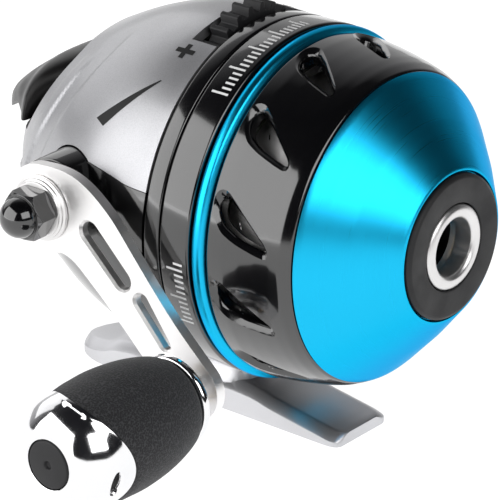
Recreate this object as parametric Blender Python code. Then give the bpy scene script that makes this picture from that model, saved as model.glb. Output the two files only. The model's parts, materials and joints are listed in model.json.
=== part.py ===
"""Spincast fishing reel, modelled piece by piece at real size (metres, +Z up).

World frame: the origin is the middle of the reel foot's seat, where a rod's reel seat
carries it. The nose points to -Y, the crank is on the -X side.

Inside the script a piece is drawn in reel millimetres (x, s, z): s runs rearwards along
the main axis from the front edge of the blue trim ring, and z is the height over that axis.
"""
import math

import bmesh
import bpy
from mathutils import Matrix, Vector

# ---------------------------------------------------------------- driving dimensions (mm)
MM = 0.001
AXIS_H = 40.5          # height of the main axis over the foot seat
FOOT_MID = 20.6        # station of the middle of the foot
GAP = 0.3              # clearance between neighbouring pieces

BODY_R = 31.0          # radius of the bands and of the front of the shell
WALL = 1.8             # wall of the shells
BAND_S = 2.8           # front of the front band
COVER_SCREW_R = 26.2   # circle of the screws that hold the rear shells
DECK_S = 9.15          # front of the frame's rim
SHELL_S = 12.65        # front of the rear shell
VENTS = 12
VENT_TURN = 30.0       # degrees between vents
HEAD_TRAVEL = 5.0      # how far the thumb button moves the spinner head

CRANK_S, CRANK_Z = 30.5, 3.0   # crank axis, along X
BOSS_R = 7.8
BOSS_X = -32.9         # outer face of the crank boss
ARM_IN, ARM_OUT = -33.6, -35.6
KNOB_S, KNOB_Z = -2.0, -20.9   # knob axis, along X
KNOB_TIP = -71.0

TEETH_MODULE = 0.8
PINION_TEETH = 8
DRIVE_TEETH = 32
PINION_R = TEETH_MODULE * PINION_TEETH / 2
DRIVE_R = TEETH_MODULE * DRIVE_TEETH / 2

LEG_R = 8.2            # circle of the legs that reach through the deck to the drag plate
DIAL_TEETH, NUT_TEETH = 24, 17
DIAL_R, NUT_R = DIAL_TEETH / 2, NUT_TEETH / 2
DIAL_Z = DIAL_R + NUT_R

FOOT_Z = -AXIS_H
FOOT_HALF = 7.4

# rear shell: radius of its outer surface at each station
SHELL_PROFILE = [(12.65, 31.0), (20.0, 31.0), (27.5, 29.9), (35.0, 27.5), (42.0, 24.2), (48.0, 20.9),
                 (52.5, 17.4), (55.4, 12.0), (56.8, 4.0)]
# upper edge of the black lower housing (station, height), from the band round the crank boss
SPLIT_LINE = [(8.0, 8.2), (16.0, 8.5), (20.0, 9.2), (24.0, 9.7), (28.0, 9.9), (32.0, 9.5),
              (35.7, 7.4), (38.6, 3.0), (40.0, -2.0), (40.0, -36.0), (8.0, -36.0)]

COLOURS = {
    "anodised_blue": ((0.0, 0.42, 0.72), 0.28, 1.0),
    "gloss_black": ((0.012, 0.012, 0.013), 0.12, 0.0),
    "matte_black": ((0.03, 0.03, 0.032), 0.55, 0.0),
    "silver_paint": ((0.50, 0.50, 0.51), 0.32, 0.6),
    "satin_steel": ((0.62, 0.62, 0.62), 0.28, 1.0),
    "polished_aluminium": ((0.86, 0.86, 0.87), 0.16, 1.0),
    "cast_aluminium": ((0.62, 0.62, 0.63), 0.38, 1.0),
    "black_foam": ((0.035, 0.035, 0.036), 0.9, 0.0),
    "chrome": ((0.9, 0.9, 0.92), 0.06, 1.0),
    "brass": ((0.72, 0.52, 0.22), 0.3, 1.0),
    "grey_nylon": ((0.18, 0.18, 0.19), 0.5, 0.0),
    "clear_line": ((0.75, 0.78, 0.72), 0.25, 0.0),
    "fibre": ((0.30, 0.22, 0.14), 0.8, 0.0),
}


# ---------------------------------------------------------------- modelling helpers
def clear_scene():
    for item in list(bpy.data.objects):
        bpy.data.objects.remove(item, do_unlink=True)


def material(name):
    mat = bpy.data.materials.get(name)
    if mat is None:
        colour, rough, metal = COLOURS[name]
        mat = bpy.data.materials.new(name)
        mat.use_nodes = True
        shader = mat.node_tree.nodes["Principled BSDF"]
        shader.inputs["Base Color"].default_value = (*colour, 1.0)
        shader.inputs["Roughness"].default_value = rough
        shader.inputs["Metallic"].default_value = metal
        mat.diffuse_color = (*colour, 1.0)
    return mat


def tidy(bm):
    bmesh.ops.remove_doubles(bm, verts=bm.verts, dist=0.0005)
    bmesh.ops.recalc_face_normals(bm, faces=bm.faces)
    return bm


def along(axis, centre, radial, turn, station):
    """Point at a radius and angle about an axis parallel to Y ('S') or X ('X')."""
    c, n = radial * math.cos(turn), radial * math.sin(turn)
    if axis == "S":
        return Vector((centre[0] + c, station, centre[2] + n))
    return Vector((station, centre[1] + c, centre[2] + n))


def turned(profile, axis="S", centre=(0, 0, 0), seg=48, twist=0.0):
    """Turn a profile of (radius, station) about an axis. The profile is a list, or a
    function of the angle that gives one. A list that starts and ends at radius 0 makes a
    solid piece, any other closes on itself."""
    bm = bmesh.new()
    rows = []
    for i in range(seg):
        turn = 2 * math.pi * i / seg + twist
        points = profile(turn) if callable(profile) else profile
        rows.append([bm.verts.new(along(axis, centre, r, turn, s)) for r, s in points])
    count = len(rows[0])
    solid = (profile(0.0) if callable(profile) else profile)[0][0] == 0
    for i in range(seg):
        a, b = rows[i], rows[(i + 1) % seg]
        for j in range(count - 1 if solid else count):
            k = (j + 1) % count
            bm.faces.new((a[j], a[k], b[k], b[j]))
    bmesh.ops.remove_doubles(bm, verts=bm.verts, dist=0.0005)
    bmesh.ops.dissolve_degenerate(bm, edges=bm.edges, dist=0.0005)
    return tidy(bm)


def rod(radius, start, end, axis="S", centre=(0, 0, 0), seg=20, chamfer=0.0):
    c = chamfer
    profile = [(0, start), (radius - c, start), (radius, start + c), (radius, end - c), (radius - c, end), (0, end)]
    if c == 0:
        profile = [(0, start), (radius, start), (radius, end), (0, end)]
    return turned(profile, axis, centre, seg, 0.07)


def ring(outer, inner, start, end, axis="S", centre=(0, 0, 0), seg=32, chamfer=0.0):
    c = chamfer
    profile = [(inner, start), (outer - c, start), (outer, start + c), (outer, end - c), (outer - c, end), (inner, end)]
    if c == 0:
        profile = [(inner, start), (outer, start), (outer, end), (inner, end)]
    return turned(profile, axis, centre, seg)


def upright(profile, station, seg=14):
    """Turn a profile of (radius, height) about an upright line over the middle of the foot."""
    bm = turned(profile, "S", (0, 0, 0), seg, 0.11)
    bmesh.ops.rotate(bm, verts=bm.verts, cent=(0, 0, 0), matrix=Matrix.Rotation(math.radians(90), 3, "X"))
    bmesh.ops.translate(bm, verts=bm.verts, vec=(0, station, 0))
    return bm


def prism(outline, start, end, axis):
    """Extrude a flat outline: along X it holds (s, z) points, along S (x, z), along Z (x, s)."""
    place = {"X": lambda p, t: (t, p[0], p[1]), "S": lambda p, t: (p[0], t, p[1]),
             "Z": lambda p, t: (p[0], p[1], t)}[axis]
    bm = bmesh.new()
    face = bm.faces.new([bm.verts.new(place(p, start)) for p in outline])
    made = bmesh.ops.extrude_face_region(bm, geom=[face])["geom"]
    shift = Vector(place((0, 0), end)) - Vector(place((0, 0), start))
    bmesh.ops.translate(bm, verts=[v for v in made if isinstance(v, bmesh.types.BMVert)], vec=shift)
    return tidy(bm)


def box(x0, x1, s0, s1, z0, z1):
    return prism([(x0, s0), (x1, s0), (x1, s1), (x0, s1)], z0, z1, "Z")


def loft(sections):
    """Skin a row of closed loops that have equal numbers of points, and cap both ends."""
    bm = bmesh.new()
    rows = [[bm.verts.new(p) for p in loop] for loop in sections]
    for a, b in zip(rows, rows[1:]):
        for j in range(len(a)):
            k = (j + 1) % len(a)
            bm.faces.new((a[j], a[k], b[k], b[j]))
    bm.faces.new(rows[0])
    bm.faces.new(rows[-1][::-1])
    return tidy(bm)


def combine(bm, tools, operation):
    """Boolean of one solid with several others in turn, worked out with the exact solver."""
    def temporary(source, label):
        mesh = bpy.data.meshes.new(label)
        source.to_mesh(mesh)
        source.free()
        item = bpy.data.objects.new(label, mesh)
        bpy.context.scene.collection.objects.link(item)
        return item

    for tool in tools:
        base, cutter = temporary(bm, "working"), temporary(tool, "cutter")
        step = base.modifiers.new("Boolean", "BOOLEAN")
        step.object = cutter
        step.operation = operation
        step.solver = "EXACT"
        bpy.context.view_layer.update()
        shape = base.evaluated_get(bpy.context.evaluated_depsgraph_get())
        bm = bmesh.new()
        bm.from_mesh(shape.to_mesh())
        shape.to_mesh_clear()
        for item in (base, cutter):
            mesh = item.data
            bpy.data.objects.remove(item, do_unlink=True)
            bpy.data.meshes.remove(mesh)
        tidy(bm)
    return bm


def cut(bm, *tools):
    return combine(bm, tools, "DIFFERENCE")


def join(bm, *tools):
    return combine(bm, tools, "UNION")


def keep(bm, tool):
    return combine(bm, [tool], "INTERSECT")


def node(name, bm, colour, origin=(0, 0, 0), parent=None):
    """Make the named object: its origin sits at a reel point, on the joint axis if it moves."""
    bmesh.ops.triangulate(bm, faces=[f for f in bm.faces if len(f.verts) > 4])
    bmesh.ops.transform(bm, verts=bm.verts, matrix=Matrix.Translation(-Vector(origin)))
    bmesh.ops.scale(bm, verts=bm.verts, vec=(MM, MM, MM))
    mesh = bpy.data.meshes.new(name)
    bm.to_mesh(mesh)
    bm.free()
    mesh.shade_smooth()
    mesh.set_sharp_from_angle(angle=math.radians(35))
    mesh.materials.append(material(colour))
    item = bpy.data.objects.new(name, mesh)
    item.location = (origin[0] * MM, (origin[1] - FOOT_MID) * MM, (origin[2] + AXIS_H) * MM)
    bpy.context.scene.collection.objects.link(item)
    return item


def shell_radius(station):
    for (s0, r0), (s1, r1) in zip(SHELL_PROFILE, SHELL_PROFILE[1:]):
        if station <= s1:
            return r0 + (r1 - r0) * max(0.0, station - s0) / (s1 - s0)
    return SHELL_PROFILE[-1][1]


def gear_outline(teeth, root, tip, base_part, tip_part, turn=0.0, centre=(0, 0)):
    """Flat gear outline with straight-sided teeth; a tooth's width is a share of the pitch."""
    points = []
    pitch = 2 * math.pi / teeth
    for i in range(teeth):
        for radius, offset in ((root, -base_part / 2), (tip, -tip_part / 2), (tip, tip_part / 2), (root, base_part / 2)):
            angle = turn + (i + offset) * pitch
            points.append((centre[0] + radius * math.cos(angle), centre[1] + radius * math.sin(angle)))
    return points


def coil(radius, wire, start, end, turns, centre=(0, 0, 0), per_turn=14, sides=6):
    """Coil spring along the main axis, its two ends closed flat."""
    sections = []
    steps = int(turns * per_turn)
    for i in range(steps + 1):
        share = i / steps
        turn = 2 * math.pi * turns * share
        station = start + wire + (end - start - 2 * wire) * share
        out = Vector((math.cos(turn), 0, math.sin(turn)))
        middle = Vector(centre) + out * radius + Vector((0, station, 0))
        loop = []
        for j in range(sides):
            a = 2 * math.pi * j / sides
            loop.append(middle + out * wire * math.cos(a) + Vector((0, wire * math.sin(a), 0)))
        sections.append(loop)
    return loft(sections)


# ---------------------------------------------------------------- front cover
def vent_cutter(turn):
    """Teardrop slot through the cover wall: round at its rear end, drawn out to a point at the
    front, and leaning round the ring as it goes forward."""
    lean = math.radians(5.5)
    outline = []
    count = 5
    for i in range(count):
        a = math.pi * i / (count - 1)
        outline.append((-3.1 + 1.9 * math.sin(a), 1.9 * math.cos(a)))
    outline += [(-7.0, -1.5), (-10.4, -0.35), (-10.4, 0.35), (-7.0, 1.25)]
    sections = []
    for radius in (21.0, 34.0):
        loop = []
        for s, side in outline:
            share = (s + 6.2) / 9.3
            angle = turn + 2 * lean * share + side / 28.5
            loop.append((-radius * math.cos(angle), s, radius * math.sin(angle)))
        sections.append(loop)
    return loft(sections)


def build_cover():
    trim = turned([(27.5, 0.0), (30.0, 0.0), (30.8, 0.6), (31.0, 1.6), (30.75, 2.5), (27.5, 2.5)], seg=48)
    node("trim_ring", trim, "anodised_blue")

    vents = turned([(30.0, -0.3), (29.5, -6.5), (28.5, -11.8), (27.0, -15.7), (24.6, -15.7), (26.9, -8.0),
                    (27.4, -1.8), (25.8, -0.8), (25.8, 7.5), (27.2, 7.5), (27.2, -0.3)], seg=48)
    turns = [math.radians(VENT_TURN * i + 13.5) for i in range(VENTS)]
    vents = cut(vents, *[vent_cutter(t) for t in turns])
    node("vent_ring", vents, "gloss_black")

    cone = turned([(26.8, -16.0), (20.2, -22.35), (13.15, -28.2), (12.9, -28.2),
                   (12.9, -27.3), (10.6, -27.3), (10.6, -26.2), (12.6, -26.2), (23.2, -17.6), (23.2, -13.6), (24.2, -13.6), (24.2, -16.0)], seg=48)
    node("front_cone", cone, "anodised_blue")

    collar = turned([(7.7, -28.75), (12.2, -28.9), (12.6, -28.5), (12.6, -27.6), (10.3, -27.6), (10.3, -23.6),
                     (7.7, -23.6)], seg=32)
    node("nose_collar", collar, "matte_black")

    guide = turned([(5.3, -28.9), (6.3, -29.25), (7.4, -28.5), (7.4, -24.2), (6.2, -23.2), (5.0, -25.2),
                    (5.0, -28.0)], seg=28)
    node("line_guide_ring", guide, "satin_steel")


# ---------------------------------------------------------------- body shells and foot
def wall_profile(extra_out=0.0, thickness=WALL):
    outer = [(r + extra_out, s) for s, r in SHELL_PROFILE]
    inner = [(max(r - thickness, 1.5), min(s, 56.8 - thickness)) for s, r in reversed(SHELL_PROFILE[:-1])]
    return outer, inner


def body_shell():
    outer, inner = wall_profile()
    profile = [(0, 56.9)] + outer[::-1] + inner[::-1] + [(0, 54.9)]
    return turned(profile, seg=48)


def split_prism(grow):
    """Side outline of the lower housing, grown or shrunk along its upper and rear edge."""
    points = []
    for s, z in SPLIT_LINE:
        points.append((s + (grow if s > 35 else 0.0), z + (grow if z > -30 else 0.0)))
    return prism(points, -40, 40, "X")


def build_body():
    band = ring(BODY_R, 27.5, BAND_S, DECK_S - GAP, seg=48, chamfer=0.35)
    node("front_band", band, "gloss_black")

    frame = turned([(BODY_R - 0.35, DECK_S), (BODY_R, DECK_S + 0.35), (BODY_R, 12.0), (BODY_R - 0.35, 12.35),
                    (6.0, 12.35), (6.0, 16.1), (4.3, 16.1), (4.3, -6.0), (6.5, -6.0), (6.5, 11.0),
                    (28.4, 11.0), (28.4, DECK_S)], seg=48)
    holes = [rod(1.5, 10, 14, centre=(COVER_SCREW_R * math.cos(math.radians(a)), 0, COVER_SCREW_R * math.sin(math.radians(a))), seg=12)
             for a in (40, 140, 270)]
    legs = [rod(1.3, 10, 14, centre=(LEG_R * math.cos(math.radians(a)), 0, LEG_R * math.sin(math.radians(a))), seg=12)
            for a in (30, 150, 270)]
    node("main_frame", cut(frame, *holes, *legs), "gloss_black")

    # rear shell: cut away for the lower housing, the thumb button and the drag dial
    opening = prism([(42.2, 24.0), (50.9, 6.2), (60.0, 5.2), (62.0, 30.0), (42.2, 30.0)], -26, 26, "X")
    dial_slot = box(-11.4, 11.4, 10.0, 18.0, 24.0, 36.0)
    boss_hole = rod(BOSS_R + GAP, -40, -8, "X", (0, CRANK_S, CRANK_Z), seg=28)
    upper = cut(body_shell(), split_prism(GAP), opening, dial_slot, boss_hole)
    bosses = []
    for a in (40, 140):
        c = (COVER_SCREW_R * math.cos(math.radians(a)), 0, COVER_SCREW_R * math.sin(math.radians(a)))
        bosses.append(rod(3.3, SHELL_S + 0.2, 20.5, centre=c, seg=14))
    upper = join(upper, *bosses)
    bores = []
    for a in (40, 140):
        c = (COVER_SCREW_R * math.cos(math.radians(a)), 0, COVER_SCREW_R * math.sin(math.radians(a)))
        bores.append(rod(1.5, SHELL_S - 2, 19.6, centre=c, seg=10))
    node("rear_cover", cut(upper, *bores), "silver_paint")

    lower = keep(body_shell(), split_prism(0.0))
    boss = rod(BOSS_R, BOSS_X, -12.0, "X", (0, CRANK_S, CRANK_Z), seg=28, chamfer=0.5)
    screw_boss = rod(3.3, SHELL_S + 0.2, 20.5, centre=(0, 0, -COVER_SCREW_R), seg=14)
    lower = join(lower, boss, screw_boss)
    bore = rod(6.7, -40, -11, "X", (0, CRANK_S, CRANK_Z), seg=28)
    foot_holes = []
    for s in (24.0, 33.0):
        foot_holes.append(upright([(0, -40), (1.7, -40), (1.7, -20), (0, -20)], s))
    lower = cut(lower, bore, rod(1.5, SHELL_S - 2, 19.6, centre=(0, 0, -COVER_SCREW_R), seg=10), *foot_holes)
    node("lower_housing", lower, "gloss_black")


def foot_section(s, half, thick, chamfer):
    z0, z1 = FOOT_Z, FOOT_Z + thick
    c = min(chamfer, half * 0.6)
    return [(-half, s, z0), (half, s, z0), (half, s, z1 - c * 0.55), (half - c, s, z1), (-half + c, s, z1),
            (-half, s, z1 - c * 0.55)]


def build_foot():
    stations = [(-10.2, 6.3, 2.0, 0.8), (-9.4, 7.1, 2.3, 1.2), (-6.0, FOOT_HALF, 2.9, 2.0), (4.0, FOOT_HALF, 4.4, 2.2),
                (12.0, FOOT_HALF, 5.6, 2.2), (37.0, FOOT_HALF, 5.4, 2.2), (43.6, FOOT_HALF, 4.0, 2.2),
                (46.6, 6.8, 3.4, 2.0), (49.0, 5.5, 2.9, 1.6), (50.6, 3.8, 2.5, 1.2), (51.4, 1.8, 2.2, 0.8)]
    foot = loft([foot_section(*row) for row in stations])
    outline = []
    for i in range(16):
        a = 2 * math.pi * i / 16
        outline.append((6.1 * math.copysign(abs(math.cos(a)) ** 0.5, math.cos(a)),
                        24.5 + 12.6 * math.copysign(abs(math.sin(a)) ** 0.6, math.sin(a))))
    stem = prism(outline, FOOT_Z + 3.0, -25.0, "Z")
    room = turned([(0, 0.0)] + [(r + GAP, s if s > 13 else 0.0) for s, r in SHELL_PROFILE] + [(0, 57.0)], seg=48)
    screws = []
    for s in (24.0, 33.0):
        screws.append(upright([(0, -36.8), (1.7, -36.8), (1.7, -20), (0, -20)], s))
    foot = join(foot, cut(stem, room))
    node("reel_foot", cut(foot, *screws), "cast_aluminium")

    for label, s in (("foot_screw_front", 24.0), ("foot_screw_rear", 33.0)):
        top = -(shell_radius(s + 3.0) - WALL) + 0.4
        screw = upright([(0, -36.4), (1.4, -36.4), (1.4, top), (2.7, top), (2.7, top + 1.3), (2.2, top + 1.8),
                         (0, top + 1.8)], s)
        node(label, screw, "satin_steel")


def build_frame_hardware():
    for label, a in (("cover_screw_right", 40), ("cover_screw_left", 140), ("housing_screw", 270)):
        c = (COVER_SCREW_R * math.cos(math.radians(a)), 0, COVER_SCREW_R * math.sin(math.radians(a)))
        screw = turned([(0, 9.3), (1.3, 9.3), (1.35, 10.6), (1.2, 10.7), (1.2, 19.2), (0, 19.2)], centre=c, seg=12)
        node(label, screw, "satin_steel")

    # bracket behind the deck that carries the rear end of the pinion and the return spring
    leg = box(10.3, 12.2, 12.65, 24.8, -6.5, 6.0)
    plate = box(-1.9, 12.2, 23.0, 24.8, -6.5, 6.0)
    bracket = cut(join(leg, plate), rod(2.0, 20, 28, seg=16))
    node("pinion_bracket", bracket, "satin_steel")


# ---------------------------------------------------------------- crank
def arm_outline():
    """Crank arm in side view: a bowed strap, broad at the shaft and narrow at the knob."""
    spine = [(30.5, 3.0, 7.6), (25.4, 3.0, 7.5), (20.4, 0.6, 6.7), (15.2, -4.2, 6.0), (10.0, -9.4, 5.5),
             (4.6, -14.8, 5.3), (KNOB_S, KNOB_Z, 5.4)]
    upper, lower = [], []
    for i, (s, z, half) in enumerate(spine):
        a = Vector(spine[max(i - 1, 0)][:2])
        b = Vector(spine[min(i + 1, len(spine) - 1)][:2])
        way = (b - a).normalized()
        side = Vector((way.y, -way.x))
        upper.append(Vector((s, z)) - side * half)
        lower.append(Vector((s, z)) + side * half)

    def cap(centre, half, first, count):
        c = Vector(centre)
        start = math.atan2((first - c).y, (first - c).x)
        return [c + half * Vector((math.cos(start + math.pi * i / count), math.sin(start + math.pi * i / count)))
                for i in range(1, count)]

    knob_end = cap(spine[-1][:2], spine[-1][2], lower[-1], 8)
    shaft_end = cap(spine[0][:2], spine[0][2], upper[0], 10)
    return [tuple(p) for p in lower + knob_end + upper[::-1] + shaft_end]


def slot_outline(start, end, r0, r1, count=6):
    """Tapered slot with round ends between two points."""
    a, b = Vector(start), Vector(end)
    base = math.atan2((b - a).y, (b - a).x)
    points = [a + r0 * Vector((math.cos(base + math.pi / 2 + math.pi * i / count),
                               math.sin(base + math.pi / 2 + math.pi * i / count))) for i in range(count + 1)]
    points += [b + r1 * Vector((math.cos(base - math.pi / 2 + math.pi * i / count),
                                math.sin(base - math.pi / 2 + math.pi * i / count))) for i in range(count + 1)]
    return [tuple(p) for p in points]


def build_crank():
    axis = (0, CRANK_S, CRANK_Z)
    shaft = turned([(0, -41.2), (2.1, -41.2), (2.4, -40.8), (2.4, -32.6), (3.0, -32.4), (3.0, -7.9), (2.6, -7.8),
                    (2.6, -2.6), (0, -2.6)], "X", axis, 20)
    node("crank_shaft", shaft, "satin_steel", axis)

    # drive gear: straight teeth on its face, set so that one line of them lies along the pinion
    gear = ring(14.0, 2.95, -7.3, -4.6, "X", axis, seg=48)
    teeth = []
    reach = math.sqrt(DRIVE_R ** 2 - CRANK_Z ** 2)
    for i in range(DRIVE_TEETH):
        turn = 2 * math.pi * (i + 0.5) / DRIVE_TEETH
        loop = []
        for x, half in ((-5.2, 0.62), (-2.75, 0.34)):
            corners = [(reach - 1.05, -half), (reach + 1.0, -half), (reach + 1.0, half), (reach - 1.05, half)]
            row = []
            for u, v in corners:
                u, v = -u, v - CRANK_Z
                row.append((x, CRANK_S + u * math.cos(turn) - v * math.sin(turn),
                            CRANK_Z + u * math.sin(turn) + v * math.cos(turn)))
            loop.append(row)
        teeth.append(loft(loop))
    node("drive_gear", join(gear, *teeth), "brass", axis)

    node("gear_clip", ring(4.6, 2.9, -4.2, -3.5, "X", axis, 16), "satin_steel", axis)
    node("clutch_sleeve", ring(4.3, 3.3, -27.4, -19.0, "X", axis, 20), "satin_steel", axis)
    node("oneway_clutch", ring(6.4, 4.6, -27.2, -19.2, "X", axis, 24), "satin_steel", axis)
    node("crank_bearing_outer", ring(6.4, 5.4, -32.3, -28.4, "X", axis, 24), "satin_steel", axis)
    node("crank_bearing_inner", ring(4.2, 3.3, -32.3, -28.4, "X", axis, 20), "satin_steel", axis)

    cage = ring(4.95, 4.65, -31.2, -29.5, "X", axis, 20)
    balls = []
    for i in range(7):
        turn = 2 * math.pi * i / 7
        ball = bmesh.new()
        bmesh.ops.create_icosphere(ball, subdivisions=1, radius=0.55)
        bmesh.ops.translate(ball, verts=ball.verts, vec=along("X", axis, 4.8, turn, -30.35))
        balls.append(ball)
    node("crank_bearing_balls", join(cage, *balls), "satin_steel", axis)

    arm = prism(arm_outline(), ARM_IN, ARM_OUT, "X")
    slot_big = prism(slot_outline((20.2, 1.1), (13.2, -5.6), 1.7, 1.75), -40, -30, "X")
    slot_small = prism(slot_outline((9.0, -8.4), (3.9, -14.6), 1.35, 0.95), -40, -30, "X")
    holes = [rod(2.7, -40, -30, "X", axis, 20), rod(2.5, -40, -30, "X", (0, KNOB_S, KNOB_Z), 16)]
    node("crank_arm", cut(arm, slot_big, slot_small, *holes), "polished_aluminium", axis)

    washer = turned([(2.7, -35.9), (5.7, -35.9), (5.7, -36.35), (4.9, -36.5), (4.9, -36.9), (2.7, -36.9)], "X", axis, 24)
    node("arm_washer", washer, "satin_steel", axis)

    hexagon = [(CRANK_S + 4.62 * math.cos(math.pi * i / 3), CRANK_Z + 4.62 * math.sin(math.pi * i / 3)) for i in range(6)]
    head = prism(hexagon, -37.2, -41.0, "X")
    dome = turned([(0, -44.6)] + [(3.55 * math.sin(a), -41.2 - 3.4 * math.cos(a)) for a in
                  [math.pi / 2 * i / 5 for i in range(1, 6)]] + [(3.55, -39.0), (0, -39.0)], "X", axis, 20)
    node("acorn_nut", cut(join(head, dome), rod(2.7, -41.6, -36, "X", axis, 16)), "gloss_black", axis)


# ---------------------------------------------------------------- knob
def cap_edge(turn):
    """Station where the grip meets the end cap: the cap reaches inwards in two lobes."""
    return KNOB_TIP + 7.3 + 2.7 * math.cos(2 * (turn - math.radians(196)))


def build_knob():
    axis = (0, KNOB_S, KNOB_Z)
    spindle = turned([(0, -65.5), (1.9, -65.5), (2.2, -65.1), (2.2, ARM_IN + 0.4), (3.4, ARM_IN + 0.4), (3.4, ARM_IN + 1.1),
                      (0, ARM_IN + 1.1)], "X", axis, 20)
    node("knob_spindle", spindle, "satin_steel", (0, CRANK_S, CRANK_Z))

    def grip(turn):
        edge = cap_edge(turn) + 0.15
        rows = [(3.9, -42.0), (7.6, -42.0), (8.4, -43.0), (9.4, -46.0), (10.2, -50.0), (10.6, -55.0), (10.5, -59.0)]
        return rows + [(10.2, edge), (8.6, edge + 0.2), (8.4, -59.0), (3.9, -59.0)]

    node("knob_grip", turned(grip, "X", axis, 28), "black_foam", axis)

    def cap_shape(turn):
        edge = cap_edge(turn) - 0.15
        return [(4.5, -66.4), (4.5, -70.7), (6.4, -70.3), (8.2, -68.7), (9.4, -66.9), (10.1, edge), (8.5, edge),
                (8.1, -59.4), (3.9, -59.4), (3.9, -66.4)]

    node("knob_cap", turned(cap_shape, "X", axis, 28), "chrome", axis)
    node("knob_plug", rod(4.2, KNOB_TIP, -66.9, "X", axis, 24, 0.25), "matte_black", axis)
    node("knob_base_ring", ring(8.0, 3.3, -41.7, -39.6, "X", axis, 28, 0.5), "chrome", axis)
    node("knob_bush", ring(3.6, 2.5, -58.6, -42.2, "X", axis, 20), "brass", axis)


# ---------------------------------------------------------------- pinion, spinner head, spool
def build_rotor():
    outline = gear_outline(PINION_TEETH, 2.45, 3.95, 0.56, 0.22, math.pi)
    teeth = prism(outline, 16.4, 22.4, "S")
    sleeve = rod(4.0, -5.7, 16.7, seg=24)
    tail = rod(2.9, 22.0, 22.7, seg=20)
    pinion = cut(join(teeth, sleeve, tail), rod(1.8, -10, 30, seg=16))
    node("pinion", pinion, "brass")

    shaft = turned([(0, -15.4), (1.2, -15.4), (1.5, -15.0), (1.5, 33.6), (2.4, 33.6), (2.4, 34.6), (1.5, 34.6),
                    (1.5, 36.2), (0, 36.2)], seg=18)
    node("centre_shaft", shaft, "satin_steel")

    head = turned([(1.8, -12.9), (18.6, -12.6), (21.6, -11.0), (23.0, -8.0), (23.7, -6.0), (23.7, 0.6), (22.5, 0.6),
                   (22.5, -6.2), (21.7, -8.6), (20.6, -10.4), (18.4, -11.4), (6.0, -11.5), (6.0, -7.0), (1.8, -7.0)], seg=36)
    pin_hole = rod(1.45, 18, 26, "X", (0, -4.0, 0), 12)
    node("spinner_head", cut(head, pin_hole), "satin_steel")

    hexagon = [(3.4 * math.cos(math.pi * i / 3), 3.4 * math.sin(math.pi * i / 3)) for i in range(6)]
    node("head_nut", cut(prism(hexagon, -15.0, -13.2, "S"), rod(1.8, -20, -10, seg=16)), "brass")

    pin = turned([(0, 21.7), (1.9, 21.7), (1.9, 22.2), (1.15, 22.25), (1.15, 24.9), (0.9, 25.2), (0, 25.2)], "X", (0, -4.0, 0), 12)
    node("pickup_pin", pin, "chrome", (0, -4.0, 0))

    node("return_spring", coil(2.08, 0.3, 25.1, 33.3, 5, per_turn=10, sides=5), "satin_steel")


def build_spool():
    spool = turned([(8.5, -2.9), (20.8, -2.9), (21.2, -2.4), (20.6, -1.8), (12.2, -1.6), (12.2, 6.4), (24.0, 6.6),
                    (24.5, 7.3), (24.0, 8.0), (8.5, 8.0)], seg=36)
    node("spool", spool, "polished_aluminium")
    line = turned([(12.5, -1.2), (18.4, -1.2), (19.5, 1.0), (19.5, 4.0), (18.4, 6.1), (12.5, 6.1)], seg=32)
    node("line_winding", line, "clear_line")
    node("spool_bush", ring(8.2, 6.8, -2.7, 7.8, seg=24), "grey_nylon")
    node("spool_clip", ring(9.6, 6.8, -4.0, -3.3, seg=24), "satin_steel")


# ---------------------------------------------------------------- drag
def build_drag():
    node("drag_washer", ring(20.0, 8.9, 8.3, 9.1, seg=28), "fibre")
    plate = ring(20.0, 7.4, 9.4, 10.4, seg=28)
    legs = [rod(0.95, 9.9, 13.0, centre=(LEG_R * math.cos(math.radians(a)), 0, LEG_R * math.sin(math.radians(a))), seg=12)
            for a in (30, 150, 270)]
    node("pressure_plate", join(plate, *legs), "satin_steel")

    nut = prism(gear_outline(NUT_TEETH, 7.6, 9.1, 0.52, 0.24, math.pi / 2), 13.8, 15.8, "S")
    node("drag_nut", cut(nut, rod(6.3, 10, 20, seg=24)), "brass")

    turn = -math.pi / 2 + math.pi / DIAL_TEETH
    dial = prism(gear_outline(DIAL_TEETH, 11.1, 12.6, 0.52, 0.24, turn, (0, DIAL_Z)), 13.3, 17.1, "S")
    dial = cut(dial, rod(1.6, 10, 20, centre=(0, 0, DIAL_Z), seg=16))
    node("drag_dial", dial, "matte_black", (0, 0, DIAL_Z))
    pin = turned([(0, 12.65), (1.3, 12.65), (1.3, 17.5), (2.6, 17.5), (2.6, 18.3), (0, 18.3)], centre=(0, 0, DIAL_Z), seg=14)
    node("dial_pin", pin, "satin_steel")

    def wave(turn):
        lift = 0.1 * math.cos(3 * turn)
        return [(6.3, 13.3 + lift), (7.6, 13.3 + lift), (7.6, 13.5 + lift), (6.3, 13.5 + lift)]

    node("wave_spring", turned(wave, seg=30), "satin_steel")


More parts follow.
